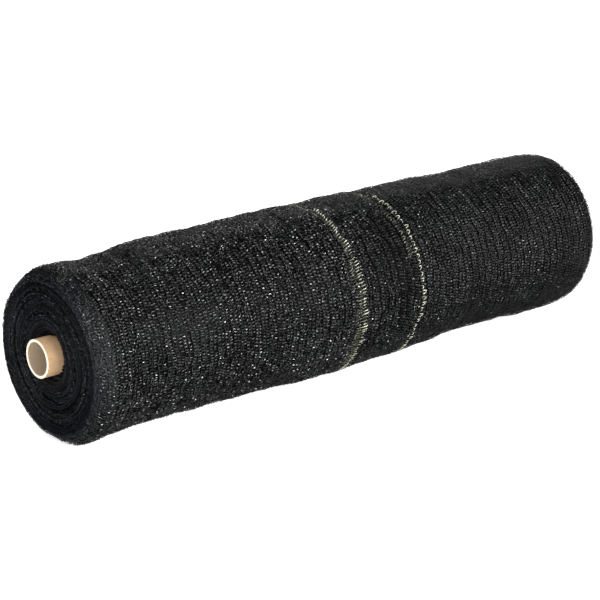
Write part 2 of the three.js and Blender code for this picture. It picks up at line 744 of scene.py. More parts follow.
@dataclass(frozen=True)
class TapeFinish:
    """Plastic tape whose tone and gloss change from stretch to stretch."""

    name: str
    dark: tuple[float, float, float]
    light: tuple[float, float, float]
    glossy: float = 0.15
    dull: float = 0.44
    specular: float = 0.5
    tone_share: float = 0.65
    dust_share: float = 0.35
    shine_power: float = 0.85
    crinkle_scale: float = 600.0
    crinkle_depth: float = 0.00012

    def material(self) -> bpy.types.Material:
        """Builds the material.

        Returns:
            The new material.
        """
        bench, material, shader = ShaderBench.start(self.name)
        tone = bench.add("ShaderNodeAttribute", attribute_name="tone").outputs["Fac"]
        crinkle = bench.add("ShaderNodeGroup", node_tree=Crinkle.group())
        crinkle.inputs["Scale"].default_value = self.crinkle_scale
        dusty = bench.math("MULTIPLY", crinkle.outputs["Dust"], self.dust_share)
        share = bench.math("MULTIPLY_ADD", tone, self.tone_share, dusty)
        shine = bench.math("POWER", tone, self.shine_power)
        sockets = {"Value": shine, "To Min": self.dull, "To Max": self.glossy}
        rough = bench.add("ShaderNodeMapRange", sockets)
        normal = bench.bump(crinkle.outputs["Height"], self.crinkle_depth, 1.0)
        bench.feed(shader.inputs["Base Color"], bench.mix(share, (*self.dark, 1), (*self.light, 1)))
        bench.feed(shader.inputs["Roughness"], rough.outputs["Result"])
        bench.feed(shader.inputs["Normal"], normal)
        shader.inputs["Specular IOR Level"].default_value = self.specular
        return material


@dataclass(frozen=True)
class CardFinish:
    """Brown card with a helical seam, paler where it is cut and painted darker and greyer in the bore as
    shade. Sizes in metres.

    Limits are where a value starts to show and where it shows fully.
    """

    name: str
    tube: CoreTube
    kraft: tuple[float, float, float] = (0.60, 0.40, 0.23)
    kraft_dark: tuple[float, float, float] = (0.44, 0.28, 0.15)
    bore: tuple[float, float, float] = (0.42, 0.33, 0.23)
    cut: tuple[float, float, float] = (0.76, 0.70, 0.60)
    cut_dark: tuple[float, float, float] = (0.64, 0.56, 0.45)
    ply: float = 0.0008
    fibre_scale: float = 420.0
    fibre_detail: float = 5.0
    mottle_scale: float = 55.0
    mottle_detail: float = 4.0
    mottle_limits: tuple[float, float] = (0.3, 0.75)
    grain_limits: tuple[float, float] = (0.45, 0.65)
    grain_strength: float = 0.5
    seam_width: float = 0.012
    seam_strength: float = 0.6
    cut_limits: tuple[float, float] = (0.0012, 0.0005)
    bore_reach: float = 0.0002
    fibre_height: float = 0.4
    seam_height: float = -0.8
    bump_depth: float = 0.0004
    bump_strength: float = 0.8
    roughness: float = 0.82
    specular: float = 0.25

    def material(self) -> bpy.types.Material:
        """Builds the material.

        Returns:
            The new material.
        """
        bench, material, shader = ShaderBench.start(self.name)
        where = bench.add("ShaderNodeTexCoord").outputs["Object"]
        parts = bench.add("ShaderNodeSeparateXYZ", {"Vector": where}).outputs
        side = bench.math("SUBTRACT", parts["Y"], self.tube.centre_y)
        rise = bench.math("SUBTRACT", parts["Z"], self.tube.centre_z)
        squares = bench.math("ADD", bench.math("POWER", side, 2.0), bench.math("POWER", rise, 2.0))
        reach = bench.math("SQRT", squares)
        seam = self._seam(bench, parts["X"], side, rise)
        fibre = bench.noise(where, self.fibre_scale, self.fibre_detail)
        mottle = bench.ramp(bench.noise(where, self.mottle_scale, self.mottle_detail), *self.mottle_limits)
        outside = bench.mix(mottle, (*self.kraft, 1), (*self.kraft_dark, 1))
        stain = bench.math("MULTIPLY", seam, self.seam_strength)
        outside = bench.mix(stain, outside, (*self.kraft_dark, 1))
        grain = bench.math("MULTIPLY", bench.ramp(fibre, *self.grain_limits), self.grain_strength)
        outside = bench.mix(grain, outside, (*self.kraft_dark, 1))
        outer_radius = self.tube.radius * MM
        inner_radius = (self.tube.radius - self.tube.wall) * MM
        middle = (outer_radius + inner_radius) / 2
        # Painted shade: the colour turns to the darker, greyer bore colour towards the inner wall.
        inward = bench.ramp(reach, middle, inner_radius + self.bore_reach)
        colour = bench.mix(inward, outside, (*self.bore, 1))
        near_cut = bench.ramp(parts["X"], *(self.tube.near_x + d for d in self.cut_limits))
        far_cut = bench.ramp(parts["X"], *(self.tube.far_x - d for d in self.cut_limits))
        plies = bench.math("SINE", bench.math("MULTIPLY", reach, FULL_TURN / self.ply))
        paler = bench.mix(bench.ramp(plies, -1.0, 1.0), (*self.cut, 1), (*self.cut_dark, 1))
        colour = bench.mix(bench.math("MAXIMUM", near_cut, far_cut), colour, paler)
        groove = bench.math("MULTIPLY", seam, self.seam_height)
        height = bench.math("MULTIPLY_ADD", fibre, self.fibre_height, groove)
        bench.feed(shader.inputs["Base Color"], colour)
        bench.feed(shader.inputs["Normal"], bench.bump(height, self.bump_depth, self.bump_strength))
        shader.inputs["Roughness"].default_value = self.roughness
        shader.inputs["Specular IOR Level"].default_value = self.specular
        return material

    def _seam(
        self,
        bench: ShaderBench,
        x: bpy.types.NodeSocket,
        side: bpy.types.NodeSocket,
        rise: bpy.types.NodeSocket,
    ) -> bpy.types.NodeSocket:
        """Draws the thin helical seam as a mask.

        Args:
            bench: the material's node bench.
            x: the place along the tube.
            side: the place across it.
            rise: the place above it.

        Returns:
            The mask's socket.
        """
        turn = bench.math("DIVIDE", bench.math("ARCTAN2", side, rise), FULL_TURN)
        wind = bench.math("ADD", bench.math("DIVIDE", x, self.tube.seam_pitch * MM), turn)
        off = bench.math("ABSOLUTE", bench.math("SUBTRACT", bench.math("FRACT", wind), 0.5))
        return bench.ramp(off, self.seam_width, 0.0)


@dataclass(frozen=True)
class TapeCut:
    """One stretch of tape in the knit's repeat.

    across and around place its middle in the repeat, height is over the winding's surface, turn is
    the angle from the roll's axis in degrees, and taper is the width left at its ends.
    """

    name: str
    across: float
    around: float
    height: float
    length: float
    width: float
    crease: float
    arch: float
    turn: float = 0.0
    taper: float = 1.0
    shine: float = 1.0

    MIDDLE = 0.25

    def build(self, number: int, shift: float, lean: float) -> bpy.types.Object:
        """Models the stretch of tape.

        Args:
            number: the tape's number, kept on its points under the name tape.
            shift: how much further round it lies.
            lean: how much more it is turned, in degrees.

        Returns:
            The new object, in millimetres.
        """
        bpy.ops.object.select_all(action="DESELECT")
        bpy.ops.mesh.primitive_grid_add(x_subdivisions=2, y_subdivisions=2, size=1)
        piece = Bench.named(self.name)
        mesh = piece.data
        away = np.abs(read_points(mesh))
        self._raise(mesh, away[:, 1] < self.MIDDLE, self.crease)
        self._raise(mesh, away[:, 0] < self.MIDDLE, self.arch)
        Bench.select_points(mesh, away[:, 0] > self.MIDDLE)
        turn = math.radians(self.turn + lean)
        with Bench.editing(select_all=False):
            bpy.ops.transform.resize(value=(1, self.taper, 1), center_override=(0, 0, 0))
            bpy.ops.mesh.select_all(action="SELECT")
            bpy.ops.transform.resize(value=(self.length, self.width, 1), center_override=(0, 0, 0))
            bpy.ops.transform.rotate(value=-turn, orient_axis="Z", center_override=(0, 0, 0))
            bpy.ops.transform.translate(value=(self.across, self.around + shift, self.height))
        layer = mesh.attributes.new("tape", "INT", "POINT")
        layer.data.foreach_set("value", np.full(len(mesh.vertices), number, np.int32))
        return piece

    @staticmethod
    def _raise(mesh: bpy.types.Mesh, chosen: np.ndarray, height: float) -> None:
        """Raises the chosen points of the object being modelled.

        Args:
            mesh: the object's mesh.
            chosen: whether each point is chosen.
            height: how far they go up.
        """
        Bench.select_points(mesh, chosen)
        with Bench.editing(select_all=False):
            bpy.ops.transform.translate(value=(0, 0, height))


@dataclass(frozen=True)
class Wobble:
    """One wave by which the knit is pulled out of line, with its length both ways."""

    across: float
    around: float
    run_wave: float
    around_wave: float
    phase: float


@dataclass(frozen=True)
class Groove:
    """A dark line where two columns are pulled apart over a part of the turn, in degrees."""

    run: float
    start: float
    end: float
    gap: float = 2.3
    reach: float = 5
    depth: float = 5.0
    width: float = 1.8
    fade: float = 12

    def share(self, angle: np.ndarray) -> np.ndarray:
        """Works out how open the groove is at each angle.

        Args:
            angle: angle round the axis, in radians.

        Returns:
            A share from nought to one.
        """
        degrees = np.degrees(angle)
        opening = np.clip((degrees - self.start) / self.fade, 0, 1)
        return opening * np.clip((self.end - degrees) / self.fade, 0, 1)

    def parting(self, run: np.ndarray, angle: np.ndarray) -> tuple[np.ndarray, np.ndarray]:
        """Works out how far the knit is moved along the roll and sunk by the groove.

        Args:
            run: distance over the cover.
            angle: angle round the axis, in radians.

        Returns:
            The shift along the roll and the depth.
        """
        away = run - self.run
        share = self.share(angle)
        shift = self.gap * np.tanh(away / self.width) * np.exp(-np.abs(away) / self.reach)
        return shift * share, self.depth * np.exp(-((away / self.width) ** 2)) * share


@dataclass(frozen=True)
class Knit:
    """The knit's repeat and how unevenly it lies.

    A wave is a pair of lengths, along the roll and round it, over which a random curve changes once.
    """

    column: float = 14.056
    row: float = 4.7
    rows_round: int = 174
    slant: float = 7.0
    shake: float = 0.4
    shake_ways: tuple[float, float, float] = (0.9, 0.7, 0.5)
    roll_shake: float = 0.5
    calm_run: float = 560
    calm_blend: float = 120
    calm_share: float = 0.5
    # Share of the tone kept on the far part, which makes it duller and painted darker as shade.
    far_dull_and_shade_share: float = 0.5
    turn_shake: float = 0.12
    tone_power: float = 1.5
    clusters: float = 0.7
    cluster_limits: tuple[float, float] = (0.2, 2)
    first_wave: tuple[float, float] = (19, 47)
    second_wave: tuple[float, float] = (33, -27)
    sunk_share: float = 0.2
    sunk_depth: float = 1.3
    round_lag: float = 1.3
    wobbles: tuple[Wobble, ...] = (
        Wobble(0.9, 0.5, 97, 61, 0.3),
        Wobble(0.7, 0.6, -143, 37, 1.9),
        Wobble(0.5, 0.5, 53, -84, 4.1),
        Wobble(0.4, 2.6, 310, 420, 2.2),
        Wobble(0.3, 1.8, -190, 840, 5.0),
    )
    coarse_fray: float = 1.8
    coarse_wave: float = 31
    fine_fray: float = 1.5
    fray_reach: float = 14.0
    grooves: tuple[Groove, ...] = (
        Groove(532.9, 14, 118),
        Groove(547.0, 22, 128),
        Groove(561.0, 20, 100),
        Groove(489.0, 40, 110, gap=0.8, depth=1.0),
        Groove(419.0, 45, 130, gap=0.8, depth=1.0),
        Groove(391.0, 50, 120, gap=0.7, depth=0.9),
        Groove(468.0, 50, 125, gap=1.0, depth=1.2),
    )
    cuts: tuple[TapeCut, ...] = (
        TapeCut("chain", 1.0, 0.0, -0.55, 4.4, 1.8, 0.45, 0.5, turn=90, taper=0.5),
        TapeCut("thin_chain", 8.0, 1.2, -0.6, 4.3, 1.7, 0.4, 0.45, turn=90, taper=0.5, shine=0.9),
        TapeCut("bar", 3.9, 0.4, -0.95, 4.4, 2.1, 0.45, 0.5, turn=6),
        TapeCut("gap_bar", 10.9, 1.7, -1.0, 4.3, 2.0, 0.4, 0.45, turn=-10, shine=0.9),
        TapeCut("strand", 5.3, 2.0, -0.6, 5.0, 0.6, 0.12, 0.2, turn=90, shine=0.6),
    )

    def wobble(self, run: np.ndarray, around: np.ndarray) -> tuple[np.ndarray, np.ndarray]:
        """Works out how far the knit is pulled out of line.

        Args:
            run: distance over the cover.
            around: distance round the roll.

        Returns:
            The shifts along the roll and round it.
        """
        across = np.zeros_like(run)
        turned = np.zeros_like(run)
        for wave in self.wobbles:
            phase = FULL_TURN * (run / wave.run_wave + around / wave.around_wave) + wave.phase
            across = across + wave.across * np.sin(phase)
            turned = turned + wave.around * np.sin(phase + self.round_lag)
        return across, turned

    def parted(self, run: np.ndarray, angle: np.ndarray) -> tuple[np.ndarray, np.ndarray]:
        """Works out how far the grooves move the knit along the roll and sink it.

        Args:
            run: distance over the cover.
            angle: angle round the axis, in radians.

        Returns:
            The shift along the roll and the depth.
        """
        shift = np.zeros_like(run)
        sunk = np.zeros_like(run)
        for groove in self.grooves:
            along, down = groove.parting(run, angle)
            shift = shift + along
            sunk = sunk + down
        return shift, sunk

    def calm(self, run: np.ndarray, left: float) -> np.ndarray:
        """Blends from one to what is left of it over the roll's far part."""
        share = np.clip((run - self.calm_run) / self.calm_blend, 0, 1)
        return 1 + (left - 1) * share

    def clustered(self, run: np.ndarray, around: np.ndarray, seed: int) -> np.ndarray:
        """Works out how much brighter or duller the tapes are in each patch of the cover.

        Args:
            run: distance over the cover.
            around: distance round the roll.
            seed: the random seed.

        Returns:
            A factor for the tone at each place.
        """
        first = soft_random(run / self.first_wave[0] + around / self.first_wave[1], seed)
        second = soft_random(run / self.second_wave[0] + around / self.second_wave[1], seed + 1)
        return np.clip(1 + self.clusters * (first + second), *self.cluster_limits)

    def frayed(self, run: np.ndarray, around: np.ndarray, seed: int) -> np.ndarray:
        """Works out how unevenly the knit's near edge lies along the roll.

        Args:
            run: distance over the cover.
            around: distance round the roll.
            seed: the random seed.

        Returns:
            The shift along the roll at each place.
        """
        coarse = self.coarse_fray * soft_random(around / self.coarse_wave, seed)
        fine = self.fine_fray * soft_random(around / self.row, seed + 1)
        return (coarse + fine) * np.exp(-np.maximum(run, 0) / self.fray_reach)


@dataclass
class NetCover:
    """A turn of netting as real stretches of tape, in bands along the roll."""

    form: RollForm
    knit: Knit
    name: str = "net_cover"
    lead: float = 16.0
    rounding: float = 0.028
    columns_in_bands: tuple[int, ...] = (18, 18, 18, 18)
    far_column: int = 36
    overlap_rows: int = 4
    seed: int = 7

    def build(self, material: bpy.types.Material, shaded_far_material: bpy.types.Material) -> None:
        """Builds every band of the cover, with a darker copy of the finish for the far ones as painted
        shade.

        Args:
            material: the near bands' finish.
            shaded_far_material: the far bands' finish, a darker and less reflective copy painted as shade.
        """
        start = 0
        for number, columns in enumerate(self.columns_in_bands):
            band = self._band(f"{self.name}_{number + 1}", start, columns)
            # The far bands take the darker copy of the tape finish: painted shade.
            finish = material if start < self.far_column else shaded_far_material
            Bench.finish(band, Slot.NETTING, "net_roll", finish)
            start += columns

    def _unit(self, name: str) -> bpy.types.Object:
        """Models one repeat: two rows of the same tapes, which lean opposite ways.

        Args:
            name: the repeat's name.

        Returns:
            The repeat, in millimetres.
        """
        pieces = []
        for row, lean in enumerate((self.knit.slant, -self.knit.slant)):
            for number, cut in enumerate(self.knit.cuts):
                tape = row * len(self.knit.cuts) + number
                pieces.append(cut.build(tape, row * self.knit.row, lean))
        return Bench.join(pieces, name)

    def _band(self, name: str, first_column: int, columns: int) -> bpy.types.Object:
        """Repeats the knit over one band, shakes its tapes a little and lays it on the roll.

        Args:
            name: the band's name.
            first_column: the knit column that it starts with.
            columns: how many columns it has.

        Returns:
            The band.
        """
        band = self._unit(name)
        unit_size = len(band.data.vertices)
        numbers = np.zeros(unit_size, np.int32)
        band.data.attributes["tape"].data.foreach_get("value", numbers)
        units_round = (self.knit.rows_round + self.overlap_rows) // 2
        Bench.repeat(band, columns, (self.knit.column, 0, 0))
        Bench.repeat(band, units_round, (0, 2 * self.knit.row, 0))
        band.data.attributes.remove(band.data.attributes["tape"])
        copies = columns * units_round
        points = read_points(band.data).reshape(copies, unit_size, 3)
        rng = np.random.default_rng(self.seed + first_column)
        tones = np.zeros(points.shape[:2])
        for number in range(numbers.max() + 1):
            chosen = numbers == number
            cut = self.knit.cuts[number % len(self.knit.cuts)]
            points[:, chosen] = self._shaken(points[:, chosen], rng, first_column)
            tones[:, chosen] = cut.shine * rng.random(copies)[:, None] ** self.knit.tone_power
        flat = points.reshape(-1, 3)
        run = flat[:, 0] + first_column * self.knit.column - self.lead
        across, turned = self.knit.wobble(run, flat[:, 1])
        rows = (flat[:, 1] + turned) / self.knit.row
        angle = self.form.free_end_angle + rows * FULL_TURN / self.knit.rows_round
        parting, sunk = self.knit.parted(run, angle)
        run = run + across + parting + self.knit.frayed(run, flat[:, 1], self.seed)
        sunk = sunk + self.rounding * np.minimum(run, 0) ** 2
        write_points(band.data, self.form.skin(run, angle, flat[:, 2] - sunk))
        # Painted shade and dullness: the far part's tapes get a lower tone, so they are darker as well as
        # rougher.
        tones = tones.ravel() * self.knit.calm(run, self.knit.far_dull_and_shade_share)
        tones = tones * self.knit.clustered(run, flat[:, 1], self.seed + 3)
        write_values(band.data, "tone", np.clip(tones, 0, 1))
        return band

    def _shaken(self, points: np.ndarray, rng: np.random.Generator, first_column: int) -> np.ndarray:
        """Turns and shifts each copy of one tape by its own small amounts.

        Args:
            points: copies, points and coordinates.
            rng: the random draws.
            first_column: the knit column that the band starts with.

        Returns:
            The moved points.
        """
        copies = len(points)
        middle = points.mean(axis=1, keepdims=True)
        away = points - middle
        run = middle[:, 0, 0] + first_column * self.knit.column
        calm = self.knit.calm(run, self.knit.calm_share)
        turn = (rng.normal(0, self.knit.turn_shake, copies) * calm)[:, None]
        roll = (rng.normal(0, self.knit.roll_shake, copies) * calm)[:, None]
        along, around = turned_by(away[..., 0], away[..., 1], turn)
        height, around = turned_by(away[..., 2], around, -roll)
        shift = rng.normal(0, self.knit.shake, (copies, 1, 3)) * np.array(self.knit.shake_ways)
        shift[:, 0, 2] -= self.knit.sunk_depth * (rng.random(copies) < self.knit.sunk_share)
        return middle + np.stack([along, around, height], axis=-1) + shift


@dataclass
class InnerWinding:
    """The dark turns that show through the cover's holes, as one closed ring-shaped body; their darkness is
    painted shade.
    """

    form: RollForm
    depth: float = 4.0
    rim_depth: float = 1.6
    rim_reach: float = 90
    side_rows: int = 110
    steps: int = 216
    near_wall: float = 34
    far_wall: float = 985
    edge_margin: float = 4
    bore_gap: float = 0.3

    def build(self, material: bpy.types.Material) -> None:
        """Builds the winding, whose section runs from the bore over the side and back along the bore.

        Args:
            material: the piece's finish.
        """
        sheet = SpunSheet.make("inner_winding", self.side_rows + 3, self.steps)
        angle = sheet.share * FULL_TURN
        runs = np.linspace(self.edge_margin, self.form.cover_run - self.edge_margin, self.side_rows)
        run = runs[np.clip(sheet.row - 1, 0, self.side_rows - 1)]
        shifted = angle + self.form.free_end_angle
        rim_share = np.clip(1 - (self.form.cover_run - run) / self.rim_reach, 0, 1)
        points = self.form.skin(run, shifted, -self.depth + (self.depth - self.rim_depth) * rim_share)
        wound = self.form.layer_step * sheet.share * MM
        outward = np.stack([np.zeros(len(run)), -np.sin(shifted), np.cos(shifted)], axis=-1)
        points = points + outward * wound[:, None]
        inner = np.full(len(run), self.form.bore_radius + self.bore_gap)
        last = self.side_rows + 1
        for row, wall in {0: self.near_wall, last: self.far_wall, last + 1: self.near_wall}.items():
            here = sheet.row == row
            points[here] = self.form.place(np.full(len(run), wall), inner, shifted)[here]
        piece = sheet.lay(points)
        # Tone nought keeps the winding at the finish's darkest, as painted shade in the holes.
        write_values(piece.data, "tone", np.zeros(len(piece.data.vertices)))
        bpy.ops.object.shade_smooth()
        Bench.finish(piece, Slot.NETTING, "net_roll", material)


@dataclass
class FaceTurns:
    """The edges of the turns at one end of the roll: one spiral ridge with loops of tape on it.

    A rate is how many times in each turn, counted out from the tube, a random curve changes.
    """

    form: RollForm
    end: End
    turns: int = 27
    crowding: float = 0.35
    rim_out: float = 1.0
    ridge: float = 3.4
    step_back: float = 14
    step_down: float = 5
    # Outer turns over which the tone fades to nought under the cover's edge, as painted shade.
    shaded_rim_turns: float = 3
    wall_depth: float = 26
    wall_gap: float = 0.2
    steps: int = 440
    rim_gap: float = 2.6
    band: float = 2.2
    band_rate: float = 0.42
    uneven: float = 1.6
    uneven_rate: float = 1.7
    ripple: float = 0.3
    ripple_rate: float = 9.0
    crevice: float = 12.0
    crevice_rate: float = 0.85
    crevice_share: float = 0.3
    tone: float = 0.55
    tone_change: float = 0.45
    tone_rate: float = 1.3
    jitter: float = 0.25
    rim_back: float = 4.5
    rim_share: float = 0.86
    rim_gap_power: int = 6
    tube_fray: float = 8.0
    fray_turns: float = 1.4
    fray_steps: float = 4
    loops: int = 5000
    loops_at_rim: float = 0.2
    rim_loops: tuple[float, float] = (0.72, 0.93)
    face_loops: tuple[float, float] = (0.02, 0.9)
    crest_spread: float = 0.15
    loop: TapeCut = TapeCut("loop", 0, 0, 0, 3.6, 1.2, 0.3, 0.6, taper=0.5)
    loop_spin: float = 0.55
    loop_tilt: float = 0.6
    loop_tone_power: int = 2
    seed: int = 21

    PROFILE = (0.0, 0.6, 1.0, 0.6)

    def build(self, material: bpy.types.Material, loop_material: bpy.types.Material) -> None:
        """Builds the end's turns and the loops of tape on them.

        Args:
            material: the turns' finish.
            loop_material: the loops' finish.
        """
        ridge_rows = len(self.PROFILE) * self.turns + 1
        sheet = SpunSheet.make(f"{self.end.value}_turns", ridge_rows + 3, self.steps)
        angle = self.form.free_end_angle + sheet.share * FULL_TURN
        row = np.minimum(sheet.row, ridge_rows - 1)
        wound = row / len(self.PROFILE) - sheet.share
        profile = np.array(self.PROFILE)[row % len(self.PROFILE)]
        inset, radius = self._lie(wound, angle, self.ridge * profile)
        rng = np.random.default_rng(self.seed + 2)
        inside = (sheet.share > 0) & (sheet.share < 1)
        inset = inset + rng.normal(0, self.jitter, len(row)) * inside
        frayed = 0.5 + 0.5 * soft_random(sheet.share * self.steps / self.fray_steps, self.seed + 3)
        at_bore = np.clip(1 - wound / self.fray_turns, 0, 1)
        inset = inset - self.tube_fray * frayed * at_bore * inside
        inner = (row > len(self.PROFILE)) & (row < ridge_rows - 1)
        radius = radius + rng.normal(0, self.jitter, len(row)) * inside * inner
        inset[sheet.row == ridge_rows] += self.step_back
        radius[sheet.row == ridge_rows] -= self.step_down
        at_tube = sheet.row == ridge_rows + 1
        inset[at_tube] = self.wall_depth
        radius[at_tube] = self.form.bore_radius + self.wall_gap
        points = self.form.place(self._along(inset), radius, angle)
        points[sheet.row == ridge_rows + 2] = points[sheet.row == 0]
        # Painted shade: the tone is nought in the grooves between turns and fades to nought over the outer
        # turns under the cover's edge, with a random level for each turn and each point.
        level = self.tone + self.tone_change * soft_random(wound * self.tone_rate, self.seed + 6)
        shade_under_knit = np.clip((self.turns - 1 - wound) / self.shaded_rim_turns, 0, 1)
        tones = profile * level * rng.random(len(row)) * shade_under_knit
        write_values(sheet.piece.data, "tone", np.clip(tones, 0, 1))
        piece = sheet.lay(points)
        Bench.finish(piece, Slot.NETTING, "net_roll", material)
        self._loops(loop_material)

    def _along(self, inset: np.ndarray) -> np.ndarray:
        """Turns a distance back from this end into a distance from the near end."""
        return inset if self.end is End.NEAR else self.form.net_length - inset

    def _lie(self, wound: np.ndarray, angle: np.ndarray, lift: np.ndarray) -> tuple[np.ndarray, np.ndarray]:
        """Works out where a part of the turns lies.

        Args:
            wound: turns from the tube.
            angle: angle round the axis, in radians.
            lift: height over the foot of the ridge.

        Returns:
            The distance back from this end, and the radius.
        """
        wound = np.clip(wound, 0, self.turns - 1)
        share = wound / (self.turns - 1)
        out = self.rim_out * share * (1 + self.crowding * (1 - share))
        loose = soft_random(wound * self.uneven_rate, self.seed)
        open_turns = soft_random(wound * self.crevice_rate, self.seed + 7)
        lean = self.uneven * loose + self.crevice * np.maximum(open_turns - self.crevice_share, 0)
        lean = lean + self.band * soft_random(wound * self.band_rate, self.seed + 4)
        lean = lean + self.ripple * soft_random(wound * self.ripple_rate, self.seed + 1)
        side = 1 if self.end is End.NEAR else -1
        inset = self.form.face_inset(self.end, out, angle) + lean - lift
        inset = inset + side * self.form.wandering(out, angle)
        inset = inset + self.rim_back * np.clip((out - self.rim_share) / (1 - self.rim_share), 0, 1)
        lowered = self.rim_gap * out ** self.rim_gap_power
        return inset, self.form.settled(self._along(inset), out, angle) - lowered

    def _loops(self, material: bpy.types.Material) -> None:
        """Models one loop of tape and scatters its copies over the crest of the ridge.

        Args:
            material: the piece's finish.
        """
        self.loop.build(0, 0, 0)
        piece = Bench.named(f"{self.end.value}_loops")
        piece.data.attributes.remove(piece.data.attributes["tape"])
        size = len(piece.data.vertices)
        pitch = 2 * self.loop.length
        Bench.repeat(piece, self.loops, (pitch, 0, 0))
        points = read_points(piece.data).reshape(self.loops, size, 3)
        points[..., 0] -= np.arange(self.loops)[:, None] * pitch
        rng = np.random.default_rng(self.seed + 8)
        share = rng.random(self.loops)
        angle = self.form.free_end_angle + share * FULL_TURN
        spread = np.sqrt(rng.uniform(*self.face_loops, self.loops))
        at_rim = rng.random(self.loops) < self.loops_at_rim
        spread = np.where(at_rim, rng.uniform(*self.rim_loops, self.loops), spread)
        crest = np.floor(spread * (self.turns - 1))
        wound = crest + 0.5 - share + rng.normal(0, self.crest_spread, self.loops)
        spin = rng.normal(0, self.loop_spin, self.loops)[:, None]
        tilt = rng.normal(0, self.loop_tilt, self.loops)[:, None]
        across, height = turned_by(points[..., 1], points[..., 2], tilt)
        tangent, outward = turned_by(points[..., 0], across, spin)
        inset, radius = self._lie(wound, angle, np.full(self.loops, self.ridge))
        radius = radius[:, None] + outward
        angle = angle[:, None] + tangent / radius
        placed = self.form.place(self._along(inset[:, None] - height), radius, angle)
        write_points(piece.data, placed.reshape(-1, 3))
        write_values(piece.data, "tone", np.repeat(rng.random(self.loops) ** self.loop_tone_power, size))
        Bench.finish(piece, Slot.NETTING, "net_roll", material)


@dataclass(frozen=True)
class Course:
    """How the pale tape lies at an angle, in degrees: lift, shift along the roll, tone and spread. The tone
    dims the tape by where it lies round the roll, as painted shade.
    """

    angle: float
    lift: float
    shift: float
    tone: float
    spread: float = 1.0


@dataclass(frozen=True)
class ThreadPoint:
    """One point of the pale tape's way through the knit, in one of its cycles."""

    across: float
    around: float
    height: float


